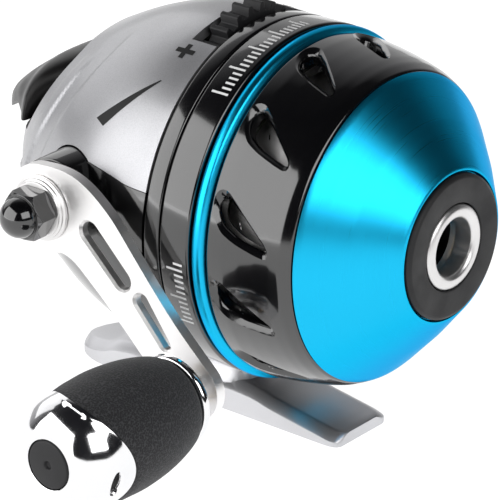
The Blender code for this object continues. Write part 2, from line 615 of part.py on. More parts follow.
# ---------------------------------------------------------------- thumb button
def build_button():
    """Beak-shaped push button that fills the slanting mouth at the top rear of the shell."""
    floor = 6.9
    lean = 0.5
    count = 17
    sections = []

    def arc_loop(front, inset):
        loop = []
        for i in range(count):
            t = i / (count - 1)
            radius = 20.0
            turn = 0.0
            for _ in range(12):
                low = math.asin(min(0.95, floor / radius))
                turn = low + (math.pi - 2 * low) * t
                station = front + (23.0 - radius * math.sin(turn)) * lean
                radius = shell_radius(station) - inset
            loop.append((radius * math.cos(turn), station, radius * math.sin(turn)))
        return loop

    def beak_loop(middle, half, top, base, lean_now):
        loop = []
        for i in range(count):
            a = math.pi * i / (count - 1)
            x = half * math.copysign(abs(math.cos(a)) ** 0.75, math.cos(a))
            z = base + (top - base) * math.sin(a) ** 0.85
            loop.append((x, middle + (top - z) * lean_now, z))
        return loop

    sections.append(arc_loop(41.6, 2.9))
    sections.append(arc_loop(42.4, 2.4))
    sections.append(arc_loop(44.4, 2.4))
    beak = [(52.4, 15.4, 17.0, 6.6, 0.12), (56.6, 12.0, 14.4, 6.4, 0.06), (60.6, 9.0, 11.7, 6.5, 0.0),
            (64.0, 6.3, 9.2, 4.8, 0.0), (66.8, 3.9, 7.0, 2.7, 0.0), (68.8, 1.9, 5.0, 2.0, 0.0)]
    sections += [beak_loop(*row) for row in beak]
    node("thumb_button", loft(sections), "gloss_black")

    # carrier under the button: it pushes the end of the centre shaft
    foot = box(-2.1, 8.0, 36.5, 39.5, -3.5, 6.5)
    tail = box(-2.1, 8.0, 36.5, 52.0, 3.4, 6.5)
    node("button_carrier", join(foot, tail), "grey_nylon")


def main():
    clear_scene()
    build_cover()
    build_body()
    build_foot()
    build_frame_hardware()
    build_crank()
    build_knob()
    build_rotor()
    build_spool()
    build_drag()
    build_button()


main()
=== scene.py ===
"""Looks of the spincast reel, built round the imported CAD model.

Shapes are written in reel millimetres (x, s, z): s runs rearwards along the main axis from
the front edge of the blue trim ring, z is the height over that axis. P() turns them into the
shared frame, whose origin is the middle of the foot's seat.
"""

import json
import math

import bmesh
import bpy
from mathutils import Matrix, Vector


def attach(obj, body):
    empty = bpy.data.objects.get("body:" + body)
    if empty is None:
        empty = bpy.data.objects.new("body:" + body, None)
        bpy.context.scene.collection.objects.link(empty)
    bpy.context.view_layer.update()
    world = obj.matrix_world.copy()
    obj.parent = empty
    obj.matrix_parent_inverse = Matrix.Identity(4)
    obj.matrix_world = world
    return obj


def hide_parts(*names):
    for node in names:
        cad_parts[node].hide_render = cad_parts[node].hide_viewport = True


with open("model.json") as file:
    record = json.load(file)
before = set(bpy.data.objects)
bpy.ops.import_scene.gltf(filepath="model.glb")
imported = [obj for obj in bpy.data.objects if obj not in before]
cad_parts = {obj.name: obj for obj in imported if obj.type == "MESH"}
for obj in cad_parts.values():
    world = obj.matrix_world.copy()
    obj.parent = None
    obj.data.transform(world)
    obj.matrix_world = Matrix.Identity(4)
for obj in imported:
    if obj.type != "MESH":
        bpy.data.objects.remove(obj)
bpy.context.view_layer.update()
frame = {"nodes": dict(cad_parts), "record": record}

# ---------------------------------------------------------------- driving dimensions (mm)
MM = 0.001
AXIS_H = 40.5                  # height of the main axis over the foot seat
FOOT_MID = 20.6                # station of the world origin
BODY_R = 31.0                  # radius of the bands and of the front of the shell
CRANK = (0.0, 30.5, 3.0)       # crank axis, along X
KNOB = (0.0, -2.0, -20.9)      # knob axis, along X
KNOB_TIP = -71.0
RECESS_X = -65.2               # middle of the oval recesses in the knob's end cap
CAP_LOBE = math.radians(196)   # direction in which the end cap reaches furthest over the grip
GRIP_R = 10.0                  # rough radius of the grip, for wrapping outlines round it
DIAL = (0.0, 15.0, 20.5)       # drag dial, its axis along S
MAIN = (0.0, 0.0, 0.0)
SEG = 96                       # segments of a turned piece, unless its call says otherwise
MOUTH_LEAN = 0.489             # slope of the shell's rear mouth, seen from the side
VENTS = 12
VENT_START = 13.5              # degrees up from -X
FLOOR_Z = -0.0125              # metres; the crank swings the knob below the foot
NOISE_SPAN = (0.3, 0.7)        # where most values of a noise texture fall
LIGHT_AIM = (0, 0, 0.04)       # metres
CAMERA_AT = (-0.4348, -0.3616, 0.2743)
CAMERA_RIGHT = Vector((0.6333, -0.7739, 0.0))
CAMERA_UP = Vector((0.3108, 0.2543, 0.9158))
CAMERA_FORWARD = Vector((0.7087, 0.5800, -0.4016))
CAMERA_LENS = 254.4

SHELL = [(12.65, 31.0), (20.0, 31.0), (27.5, 29.9), (35.0, 27.5), (42.0, 24.2), (48.0, 20.9),
         (52.5, 17.4), (55.4, 12.0), (56.8, 4.0)]
SPLIT = [(8.0, 8.2), (16.0, 8.5), (20.0, 9.2), (24.0, 9.7), (28.0, 9.9), (32.0, 9.5),
         (35.7, 7.4), (38.6, 3.0), (40.0, -2.0), (40.0, -36.0), (8.0, -36.0)]


def P(x, s, z):
    """Reel millimetres to metres in the shared frame."""
    return Vector((x * MM, (s - FOOT_MID) * MM, (z + AXIS_H) * MM))


# ---------------------------------------------------------------- materials
def new_material(name):
    """Material with its node tree, its shader and a texture coordinate node."""
    mat = bpy.data.materials.new(name)
    mat.use_nodes = True
    tree = mat.node_tree
    shader = tree.nodes["Principled BSDF"]
    place = tree.nodes.new("ShaderNodeTexCoord")
    return mat, tree, shader, place


def link_noise(tree, place, scale, detail=3.0, stretch=(1, 1, 1)):
    """Noise over object coordinates; scale is in cells per metre."""
    mapping = tree.nodes.new("ShaderNodeMapping")
    mapping.inputs["Scale"].default_value = stretch
    noise = tree.nodes.new("ShaderNodeTexNoise")
    noise.inputs["Scale"].default_value = scale
    noise.inputs["Detail"].default_value = detail
    tree.links.new(place.outputs["Object"], mapping.inputs["Vector"])
    tree.links.new(mapping.outputs["Vector"], noise.inputs["Vector"])
    return noise


def ramp(tree, source, stops):
    """Colour ramp from (position, colour) stops, driven by a texture."""
    node = tree.nodes.new("ShaderNodeValToRGB")
    node.color_ramp.elements[0].position = stops[0][0]
    node.color_ramp.elements[0].color = (*stops[0][1], 1)
    node.color_ramp.elements[1].position = stops[-1][0]
    node.color_ramp.elements[1].color = (*stops[-1][1], 1)
    for place, colour in stops[1:-1]:
        node.color_ramp.elements.new(place).color = (*colour, 1)
    tree.links.new(source, node.inputs["Fac"])
    return node


def vary_roughness(tree, shader, source, low, high):
    """Let a texture move the roughness between two values."""
    span = tree.nodes.new("ShaderNodeMapRange")
    span.inputs["From Min"].default_value = NOISE_SPAN[0]
    span.inputs["From Max"].default_value = NOISE_SPAN[1]
    span.inputs["To Min"].default_value = low
    span.inputs["To Max"].default_value = high
    tree.links.new(source, span.inputs["Value"])
    tree.links.new(span.outputs["Result"], shader.inputs["Roughness"])


def add_bump(tree, shader, source, strength, depth):
    """Fine surface relief from a texture; depth is in metres."""
    bump = tree.nodes.new("ShaderNodeBump")
    bump.inputs["Strength"].default_value = strength
    bump.inputs["Distance"].default_value = depth
    tree.links.new(source, bump.inputs["Height"])
    tree.links.new(bump.outputs["Normal"], shader.inputs["Normal"])


def metal(name, colour, rough, grain=900.0, stretch=(1, 1, 1), strength=0.08, spread=0.05, dark=0.9):
    """Bare or anodised metal: colour drifts a little, roughness and bump follow a stretched grain."""
    mat, tree, shader, place = new_material(name)
    shader.inputs["Metallic"].default_value = 1.0
    broad = link_noise(tree, place, 60.0)
    low = tuple(c * dark for c in colour)
    tone = ramp(tree, broad.outputs["Fac"], [(0.35, low), (0.65, colour)])
    tree.links.new(tone.outputs["Color"], shader.inputs["Base Color"])
    fine = link_noise(tree, place, grain, 4.0, stretch)
    vary_roughness(tree, shader, fine.outputs["Fac"], rough - spread, rough + spread)
    add_bump(tree, shader, fine.outputs["Fac"], strength, 0.00004)
    return mat


def plastic(name, colour, rough, level=0.5, coat=0.0, grain=1500.0, strength=0.05, lift=1.5):
    """Moulded or lacquered plastic with slight mottling, soft wipe marks and a fine texture."""
    mat, tree, shader, place = new_material(name)
    shader.inputs["Specular IOR Level"].default_value = level
    shader.inputs["Coat Weight"].default_value = coat
    shader.inputs["Coat Roughness"].default_value = 0.04
    broad = link_noise(tree, place, 45.0)
    high = tuple(min(1.0, c * lift) for c in colour)
    tone = ramp(tree, broad.outputs["Fac"], [(0.3, colour), (0.75, high)])
    tree.links.new(tone.outputs["Color"], shader.inputs["Base Color"])
    wipe = link_noise(tree, place, 220.0, 5.0, (1, 0.3, 1))
    vary_roughness(tree, shader, wipe.outputs["Fac"], rough * 0.8, rough * 1.25)
    fine = link_noise(tree, place, grain, 2.0)
    add_bump(tree, shader, fine.outputs["Fac"], strength, 0.00003)
    return mat


def silver_paint():
    """Metallic lacquer: fine flakes under a clear coat."""
    mat, tree, shader, place = new_material("silver_paint_flake")
    shader.inputs["Metallic"].default_value = 0.85
    shader.inputs["Coat Weight"].default_value = 0.35
    shader.inputs["Coat Roughness"].default_value = 0.12
    flakes = tree.nodes.new("ShaderNodeTexVoronoi")
    flakes.inputs["Scale"].default_value = 6500.0
    tree.links.new(place.outputs["Object"], flakes.inputs["Vector"])
    tone = ramp(tree, flakes.outputs["Distance"],
                [(0.0, (0.50, 0.50, 0.515)), (0.8, (0.40, 0.40, 0.415))])
    tree.links.new(tone.outputs["Color"], shader.inputs["Base Color"])
    broad = link_noise(tree, place, 120.0)
    vary_roughness(tree, shader, broad.outputs["Fac"], 0.36, 0.44)
    add_bump(tree, shader, flakes.outputs["Distance"], 0.08, 0.00003)
    return mat


def anodised_blue():
    """Blue anodising over a lathe-turned surface: fine rings along the main axis."""
    mat, tree, shader, place = new_material("anodised_blue_turned")
    shader.inputs["Coat Weight"].default_value = 0.10
    shader.inputs["Coat Roughness"].default_value = 0.3
    shader.inputs["Metallic"].default_value = 1.0
    shader.inputs["Specular Tint"].default_value = (0.05, 0.55, 0.85, 1.0)
    rings = link_noise(tree, place, 1.0, 4.0, (60, 9000, 60))
    broad = link_noise(tree, place, 40.0)
    blue, deep = (0.012, 0.53, 0.87), (0.010, 0.50, 0.82)
    tone = ramp(tree, broad.outputs["Fac"], [(0.3, deep), (0.7, blue)])
    tree.links.new(tone.outputs["Color"], shader.inputs["Base Color"])
    vary_roughness(tree, shader, rings.outputs["Fac"], 0.27, 0.34)
    add_bump(tree, shader, rings.outputs["Fac"], 0.12, 0.00002)
    return mat


def foam():
    """Closed-cell EVA foam: matt black cells with paler specks."""
    mat, tree, shader, place = new_material("black_foam_cells")
    shader.inputs["Roughness"].default_value = 0.92
    shader.inputs["Sheen Weight"].default_value = 0.12
    shader.inputs["Sheen Roughness"].default_value = 0.5
    cells = tree.nodes.new("ShaderNodeTexVoronoi")
    cells.inputs["Scale"].default_value = 3300.0
    tree.links.new(place.outputs["Object"], cells.inputs["Vector"])
    tone = ramp(tree, cells.outputs["Distance"],
                [(0.0, (0.006, 0.006, 0.007)), (0.45, (0.014, 0.014, 0.016)),
                 (0.8, (0.045, 0.045, 0.048))])
    tree.links.new(tone.outputs["Color"], shader.inputs["Base Color"])
    add_bump(tree, shader, cells.outputs["Distance"], 0.6, 0.00012)
    return mat


def wound_line():
    """Clear monofilament laid side by side on the spool."""
    mat, tree, shader, place = new_material("clear_line_wound")
    shader.inputs["Roughness"].default_value = 0.22
    shader.inputs["Specular IOR Level"].default_value = 0.7
    turns = link_noise(tree, place, 1.0, 2.0, (120, 5200, 120))
    tone = ramp(tree, turns.outputs["Fac"], [(0.35, (0.42, 0.46, 0.40)), (0.65, (0.80, 0.83, 0.76))])
    tree.links.new(tone.outputs["Color"], shader.inputs["Base Color"])
    add_bump(tree, shader, turns.outputs["Fac"], 0.7, 0.0001)
    return mat


FINISH = {
    "anodised_blue": anodised_blue(),
    "gloss_black": plastic("gloss_black_lacquer", (0.0022, 0.0022, 0.0026), 0.11,
                           level=1.0, coat=0.5, grain=700.0, strength=0.02),
    "matte_black": plastic("matte_black_moulded", (0.010, 0.010, 0.011), 0.48,
                           level=0.35, grain=2600.0, strength=0.25),
    "silver_paint": silver_paint(),
    "satin_steel": metal("satin_steel_turned", (0.80, 0.79, 0.785), 0.34, grain=1600.0, stretch=(1, 6, 1)),
    "polished_aluminium": metal("polished_aluminium", (0.93, 0.92, 0.915), 0.36, grain=700.0,
                                stretch=(1, 1, 8), strength=0.05, spread=0.04, dark=0.97),
    "cast_aluminium": metal("cast_aluminium_blasted", (0.66, 0.66, 0.68), 0.40, grain=5200.0,
                            strength=0.22, spread=0.06),
    "black_foam": foam(),
    "chrome": metal("chrome_plate", (0.88, 0.88, 0.89), 0.10, strength=0.02, spread=0.02, dark=0.98),
    "brass": metal("machined_brass", (0.72, 0.50, 0.20), 0.30, grain=1800.0, stretch=(1, 5, 1)),
    "grey_nylon": plastic("grey_nylon", (0.14, 0.14, 0.15), 0.48,
                          level=0.45, grain=2400.0, strength=0.2, lift=1.2),
    "clear_line": wound_line(),
    "fibre": plastic("pressed_fibre", (0.26, 0.18, 0.11), 0.85,
                     level=0.2, grain=3200.0, strength=0.6, lift=1.35),
}
PRINT_WHITE = plastic("printed_white", (0.72, 0.72, 0.72), 0.40, grain=5200.0, strength=0.15, lift=1.15)
PRINT_BLACK = plastic("printed_black", (0.006, 0.006, 0.006), 0.45,
                      level=0.3, grain=5200.0, strength=0.15, lift=1.4)
HEAD_STEEL = metal("spinner_head_blasted", (0.97, 0.96, 0.95), 0.55, grain=2400.0, stretch=(1, 6, 1),
                   strength=0.1, spread=0.06)
BUTTON_BLACK = plastic("button_satin_black", (0.0045, 0.0042, 0.0042), 0.34, level=0.22, grain=1700.0)
# Near-black material laid at the bottom of the knob cap's oval recesses as painted shade.
BORE_PAINTED_SHADE = plastic("bore_shadow", (0.004, 0.004, 0.005), 0.6, level=0.2, grain=1800.0, strength=0.2)

SLOT_OF = {part["node"]: part["material_slot"] for part in frame["record"]["subparts"]}
for label, cad_node in frame["nodes"].items():
    cad_node.data.materials.clear()
    cad_node.data.materials.append(FINISH[SLOT_OF[label]])


# ---------------------------------------------------------------- mesh helpers
def clean(bm):
    """Weld doubles and turn every face outwards."""
    bmesh.ops.remove_doubles(bm, verts=bm.verts, dist=0.0008)
    bmesh.ops.dissolve_degenerate(bm, edges=bm.edges, dist=0.0005)
    bmesh.ops.recalc_face_normals(bm, faces=bm.faces)
    return bm


def soften(profile, size=0.3, steps=3):
    """Round the corners of a profile of (radius, station) points with short quadratic curves."""
    closed = profile[0][0] != 0
    points = [Vector(p) for p in profile]
    out = []
    for i, point in enumerate(points):
        if not closed and i in (0, len(points) - 1):
            out.append(tuple(point))
            continue
        before, after = points[i - 1], points[(i + 1) % len(points)]
        reach = min(size, (point - before).length * 0.45, (after - point).length * 0.45)
        a = point + (before - point).normalized() * reach
        b = point + (after - point).normalized() * reach
        for k in range(steps + 1):
            t = k / steps
            out.append(tuple(a * (1 - t) ** 2 + point * 2 * t * (1 - t) + b * t * t))
    return out


def turned(profile, axis="S", centre=MAIN, seg=SEG, twist=0.0):
    """Turn a profile of (radius, station), or a function of the angle that gives one."""
    bm = bmesh.new()
    rows = []
    for i in range(seg):
        turn = 2 * math.pi * i / seg + twist
        row = []
        for r, s in (profile(turn) if callable(profile) else profile):
            c, n = r * math.cos(turn), r * math.sin(turn)
            across = (centre[0] + c, s, centre[2] + n)
            along = (s, centre[1] + c, centre[2] + n)
            row.append(bm.verts.new(across if axis == "S" else along))
        rows.append(row)
    count = len(rows[0])
    solid = (profile(0.0) if callable(profile) else profile)[0][0] == 0
    for i in range(seg):
        a, b = rows[i], rows[(i + 1) % seg]
        for j in range(count - 1 if solid else count):
            k = (j + 1) % count
            bm.faces.new((a[j], a[k], b[k], b[j]))
    return clean(bm)


def rod(radius, start, end, axis="S", centre=MAIN, seg=32):
    """Plain round bar along S or X."""
    return turned([(0, start), (radius, start), (radius, end), (0, end)], axis, centre, seg, 0.07)


def upright(radius, start, end, station, seg=32):
    """Round bar along Z at a station, for the foot's screw holes."""
    bm = turned([(0, start), (radius, start), (radius, end), (0, end)], "S", MAIN, seg, 0.11)
    bmesh.ops.rotate(bm, verts=bm.verts, cent=(0, 0, 0), matrix=Matrix.Rotation(math.radians(90), 3, "X"))
    bmesh.ops.translate(bm, verts=bm.verts, vec=(0, station, 0))
    return bm


def prism(outline, start, end, axis):
    """Extrude a flat outline: along X it holds (s, z) points, along S (x, z), along Z (x, s)."""
    place = {"X": lambda p, t: (t, p[0], p[1]), "S": lambda p, t: (p[0], t, p[1]),
             "Z": lambda p, t: (p[0], p[1], t)}[axis]
    return loft([[place(p, start) for p in outline], [place(p, end) for p in outline]])


def box(x0, x1, s0, s1, z0, z1):
    """Block between two x, two s and two z values."""
    return prism([(x0, s0), (x1, s0), (x1, s1), (x0, s1)], z0, z1, "Z")


def loft(sections):
    """Skin a row of closed loops that have equal numbers of points, and cap both ends."""
    bm = bmesh.new()
    rows = [[bm.verts.new(p) for p in loop] for loop in sections]
    for a, b in zip(rows, rows[1:]):
        for j in range(len(a)):
            k = (j + 1) % len(a)
            bm.faces.new((a[j], a[k], b[k], b[j]))
    bm.faces.new(rows[0])
    bm.faces.new(rows[-1][::-1])
    return clean(bm)


def combine(bm, tools, operation):
    """Apply exact booleans one after the other; the tools are used up."""
    for tool in tools:
        items = []
        for source in (bm, tool):
            mesh = bpy.data.meshes.new("working")
            source.to_mesh(mesh)
            source.free()
            item = bpy.data.objects.new("working", mesh)
            bpy.context.scene.collection.objects.link(item)
            items.append(item)
        step = items[0].modifiers.new("Boolean", "BOOLEAN")
        step.object = items[1]
        step.operation = operation
        step.solver = "EXACT"
        bpy.context.view_layer.update()
        shape = items[0].evaluated_get(bpy.context.evaluated_depsgraph_get())
        bm = bmesh.new()
        bm.from_mesh(shape.to_mesh())
        shape.to_mesh_clear()
        for item in items:
            mesh = item.data
            bpy.data.objects.remove(item, do_unlink=True)
            bpy.data.meshes.remove(mesh)
        clean(bm)
    return bm


def cut(bm, *tools):
    return combine(bm, tools, "DIFFERENCE")


def join(bm, *tools):
    return combine(bm, tools, "UNION")


def keep(bm, tool):
    return combine(bm, [tool], "INTERSECT")


def curve_through(points, per_span=8):
    """Catmull-Rom curve through a list of points of any size."""
    pts = [Vector(p) for p in points]
    out = []
    for i in range(len(pts) - 1):
        p0, p1, p2, p3 = pts[max(i - 1, 0)], pts[i], pts[i + 1], pts[min(i + 2, len(pts) - 1)]
        for k in range(per_span):
            t = k / per_span
            out.append(0.5 * ((2 * p1) + (p2 - p0) * t + (2 * p0 - 5 * p1 + 4 * p2 - p3) * t * t
                              + (3 * p1 - p0 - 3 * p2 + p3) * t ** 3))
    out.append(pts[-1])
    return out


def piece(name, bm, body, stands_for, finish, bevel=0.0, sharp=32.0, material=None):
    """Make the shown object in the shared frame, let it ride on its body and take its finish."""
    big = [f for f in bm.faces if len(f.verts) > 4]
    bmesh.ops.triangulate(bm, faces=big)
    for v in bm.verts:
        v.co = P(*v.co)
    mesh = bpy.data.meshes.new(name)
    bm.to_mesh(mesh)
    bm.free()
    mesh.shade_smooth()
    mesh.set_sharp_from_angle(angle=math.radians(sharp))
    mesh.materials.append(material or FINISH[finish])
    item = bpy.data.objects.new(name, mesh)
    bpy.context.scene.collection.objects.link(item)
    if bevel:
        round_off(item, bevel)
    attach(item, body)
    if stands_for:
        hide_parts(*stands_for)
    return item


def round_off(item, width, segments=2, angle=32.0):
    """Small rounded edges, as moulding and tumbling leave them."""
    step = item.modifiers.new("Bevel", "BEVEL")
    step.width = width * MM
    step.segments = segments
    step.limit_method = "ANGLE"
    step.angle_limit = math.radians(angle)
    step.harden_normals = True


def shell_radius(station):
    """Radius of the shell's profile, straight from point to point."""
    for (s0, r0), (s1, r1) in zip(SHELL, SHELL[1:]):
        if station <= s1:
            return r0 + (r1 - r0) * max(0.0, station - s0) / (s1 - s0)
    return SHELL[-1][1]


SHELL_CURVE = curve_through(SHELL, 10)


def smooth_radius(station):
    """Radius of the smooth curve through the shell's profile points."""
    for a, b in zip(SHELL_CURVE, SHELL_CURVE[1:]):
        if station <= b[0]:
            share = (station - a[0]) / max(1e-6, b[0] - a[0])
            return a[1] + (b[1] - a[1]) * max(0.0, share)
    return SHELL[-1][1]


def smooth_step(low, high, value):
    """0 below low, 1 above high, with a soft change between them."""
    t = min(1.0, max(0.0, (value - low) / (high - low)))
    return t * t * (3 - 2 * t)


# ---------------------------------------------------------------- front cover
def vent_cutter(turn):
    """Teardrop slot: straight through the wall, then flaring into a dished border outside."""
    lean = math.radians(5.5)
    base = []
    for i in range(13):
        a = math.pi * i / 12
        base.append((-3.5 + 1.9 * math.sin(a), 2.25 * math.cos(a)))
    left = curve_through([(-3.5, -2.25), (-5.8, -2.05), (-8.4, -1.25), (-10.6, -0.5)], 5)[1:]
    nose = [(-10.95, -0.2), (-11.0, 0.0), (-10.95, 0.2)]
    right = curve_through([(-10.6, 0.5), (-8.2, 1.3), (-5.8, 1.95), (-3.5, 2.25)], 5)[:-1]
    base += [tuple(p) for p in left] + nose + [tuple(p) for p in right]
    middle = Vector((-6.4, 0.0))
    sections = []
    for depth, grow in ((-9.0, 0.0), (-1.3, 0.0), (-0.95, 0.03), (-0.68, 0.14), (-0.42, 0.34),
                        (-0.18, 0.62), (0.08, 0.95), (0.5, 1.5)):
        loop = []
        count = len(base)
        for i, point in enumerate(base):
            before, after = Vector(base[i - 1]), Vector(base[(i + 1) % count])
            way = (after - before).normalized()
            out = Vector((way.y, -way.x))
            if out.dot(Vector(point) - middle) < 0:
                out = -out
            s, side = Vector(point) + out * grow
            wall = 30.0 - max(0.0, -0.3 - s) * 0.085 - max(0.0, -6.5 - s) * 0.11
            radius = wall + depth
            angle = turn + 2 * lean * (s + 6.2) / 9.3 + side / 28.5
            loop.append((-radius * math.cos(angle), s, radius * math.sin(angle)))
        sections.append(loop)
    return loft(sections)


def build_cover():
    """Nose cover: blue trim ring, vent ring, blue cone, black collar and line ring."""
    trim = soften([(27.5, 0.0), (29.7, 0.0), (30.75, 0.45), (31.0, 1.25), (30.75, 2.05), (30.2, 2.5),
                   (27.5, 2.5)], 0.35, 4)
    piece("trim_ring_blue", turned(trim, seg=192), "cover", ["trim_ring"], "anodised_blue")

    outer = [(30.0, -0.3), (29.9, -3.4), (29.5, -6.5), (29.0, -9.4), (28.45, -12.0), (27.9, -13.9),
             (27.0, -15.7)]
    inner = [(24.6, -15.7), (26.9, -8.0), (27.4, -1.8), (25.8, -0.8), (25.8, 7.5), (27.2, 7.5),
             (27.2, -0.3)]
    vents = turned(soften(outer + inner, 0.5, 8), seg=240)
    angles = [math.radians(VENT_START + 360.0 * i / VENTS) for i in range(VENTS)]
    vents = cut(vents, *[vent_cutter(a) for a in angles])
    piece("vent_ring_black", vents, "cover", ["vent_ring"], "gloss_black", sharp=15)

    cone = soften([(26.85, -15.95), (26.0, -16.85), (20.2, -22.35), (13.5, -28.0), (13.0, -28.2),
                   (12.8, -27.3), (10.6, -27.3), (10.6, -26.2), (12.6, -26.2), (23.2, -17.6),
                   (23.2, -13.6), (24.2, -13.6), (24.2, -15.95)], 0.12, 2)
    piece("front_cone_blue", turned(cone, seg=192), "cover", ["front_cone"], "anodised_blue")

    collar = soften([(7.6, -28.75), (12.0, -28.95), (12.6, -28.5), (12.6, -27.6), (10.3, -27.6),
                     (10.3, -23.6), (7.6, -23.6)], 0.3, 4)
    piece("nose_collar_black", turned(collar, seg=128), "cover", ["nose_collar"], "matte_black")

    guide = soften([(5.0, -28.6), (5.6, -29.15), (6.6, -29.2), (7.4, -28.7), (7.4, -24.2), (6.2, -23.2),
                    (5.0, -25.2)], 0.4, 5)
    piece("line_guide_satin", turned(guide, seg=128), "cover", ["line_guide_ring"], "satin_steel")


# ---------------------------------------------------------------- body shells
def mouth_distance(s, z):
    """How far a shell point lies behind the slanting rim of the rear mouth (mm, along S)."""
    return (s - 42.2) + MOUTH_LEAN * (z - 24.0)


def relief(turn, s):
    """Moulded relief of the silver shell: a sunk zone along the rim with a raised strip in it."""
    r = shell_radius(s)
    z = r * math.sin(turn)
    if s < 20 or z < 0:
        return 0.0
    d = mouth_distance(s, z)
    height = abs(math.degrees(turn) - 90.0)
    fade = smooth_step(18.0, 32.0, height)
    sunk = smooth_step(-9.4, -8.8, d) * 0.6 * fade
    strip = smooth_step(-5.6, -4.9, d) * (1 - smooth_step(-2.9, -2.2, d)) * smooth_step(24.0, 42.0, height)
    return -sunk + strip * 0.5


def shell_body(seg, with_relief):
    """Whole rear shell with a 1.8 mm wall, before it is cut into its upper and lower halves."""
    stations = [12.65 + i * 0.5 for i in range(int((52.5 - 12.65) / 0.5) + 1)]
    stations += [52.5, 53.7, 54.7, 55.4, 56.1, 56.5, 56.8]
    inner = [(max(r - 1.8, 1.5), min(s, 55.0)) for s, r in reversed(SHELL[:-1])]

    def profile(turn):
        outer = [(smooth_radius(s) + (relief(turn, s) if with_relief else 0.0), s) for s in stations]
        return [(0, 56.9)] + outer[::-1] + inner[::-1] + [(0, 54.9)]

    return turned(profile, seg=seg)


def split_prism(grow):
    """Prism that covers the lower housing's share of the shell."""
    points = []
    top = [tuple(p) for p in curve_through(SPLIT[:9], 5)] + SPLIT[9:]
    for s, z in top:
        points.append((s + (grow if s > 35 else 0.0), z + (grow if z > -30 else 0.0)))
    return prism(points, -40, 40, "X")


def on_ring(radius, degrees):
    """Point on a circle about the main axis, as the centre of a hole or a boss."""
    return (radius * math.cos(math.radians(degrees)), 0, radius * math.sin(math.radians(degrees)))


def build_body():
    """Black bands, silver rear cover and black lower housing."""
    band = soften([(27.5, 2.8), (30.7, 2.8), (31.0, 3.1), (31.0, 8.6), (30.75, 8.85), (27.5, 8.85)], 0.2, 3)
    piece("front_band_black", turned(band, seg=192), "frame", ["front_band"], "gloss_black")

    rim = soften([(30.75, 9.15), (31.0, 9.4), (31.0, 12.1), (30.75, 12.35), (6.0, 12.35), (6.0, 16.1),
                  (4.3, 16.1), (4.3, -6.0), (6.5, -6.0), (6.5, 11.0), (28.4, 11.0), (28.4, 9.15)], 0.2, 2)
    holes = []
    for radius, ring_r, angles in ((1.5, 26.2, (40, 140, 270)), (1.3, 8.2, (30, 150, 270))):
        holes += [rod(radius, 10, 14, centre=on_ring(ring_r, a), seg=28) for a in angles]
    piece("main_frame_black", cut(turned(rim, seg=192), *holes), "frame", ["main_frame"], "gloss_black")

    opening = prism([(42.2, 24.0), (50.9, 6.2), (60.0, 5.2), (62.0, 30.0), (42.2, 30.0)], -26, 26, "X")
    dial_slot = box(-11.4, 11.4, 12.2, 18.0, 24.0, 36.0)
    boss_hole = rod(8.1, -40, -8, "X", CRANK, 64)
    upper = cut(shell_body(240, True), split_prism(0.12), opening, dial_slot, boss_hole)
    bores = [rod(1.5, 10, 19.6, centre=on_ring(26.2, a), seg=20) for a in (40, 140)]
    bosses = [rod(3.1, 12.8, 20.5, centre=on_ring(26.0, a), seg=28) for a in (40, 140)]
    upper = cut(join(upper, *bosses), *bores)
    piece("rear_cover_silver", upper, "frame", ["rear_cover"], "silver_paint", sharp=40)

    lower = keep(shell_body(192, False), split_prism(0.0))
    boss_profile = [(0, -32.9), (7.3, -32.9), (7.65, -32.75), (7.8, -32.4), (7.8, -12.0), (0, -12.0)]
    lower = join(lower, turned(boss_profile, "X", CRANK),
                 rod(3.1, 12.8, 20.5, centre=(0, 0, -26.0), seg=28))
    lower = cut(lower, rod(6.7, -40, -11, "X", CRANK, 64),
                rod(1.5, 10, 19.6, centre=(0, 0, -26.2), seg=20),
                upright(1.7, -40, -20, 24.0), upright(1.7, -40, -20, 33.0))
    piece("lower_housing_black", lower, "frame", ["lower_housing"], "gloss_black", sharp=40)


def patch(corners, s_to_radius, sink=0.25, proud=0.035, steps=10):
    """Thin closed patch on a turned surface between four (degrees from -X, station) corners."""
    def point(u, v, lift):
        a0 = Vector(corners[0]).lerp(Vector(corners[1]), u)
        a1 = Vector(corners[3]).lerp(Vector(corners[2]), u)
        turn, s = a0.lerp(a1, v)
        radius = s_to_radius(s) + lift
        turn = math.radians(turn)
        return (-radius * math.cos(turn), s, radius * math.sin(turn))

    sections = []
    for i in range(steps + 1):
        u = i / steps
        low = [point(u, v / 4, -sink) for v in range(5)]
        high = [point(u, v / 4, proud) for v in range(4, -1, -1)]
        sections.append(low + high)
    return loft(sections)


def merge(parts):
    """Put separate closed shapes into one mesh."""
    whole = bmesh.new()
    for part in parts:
        mesh = bpy.data.meshes.new("part")
        part.to_mesh(mesh)
        part.free()
        whole.from_mesh(mesh)
        bpy.data.meshes.remove(mesh)
    return whole


def band_surface(station):
    """The black bands keep one radius."""
    return BODY_R


def shell_surface(station):
    """The marks stand a little over the smooth shell."""
    return smooth_radius(station) + 0.02


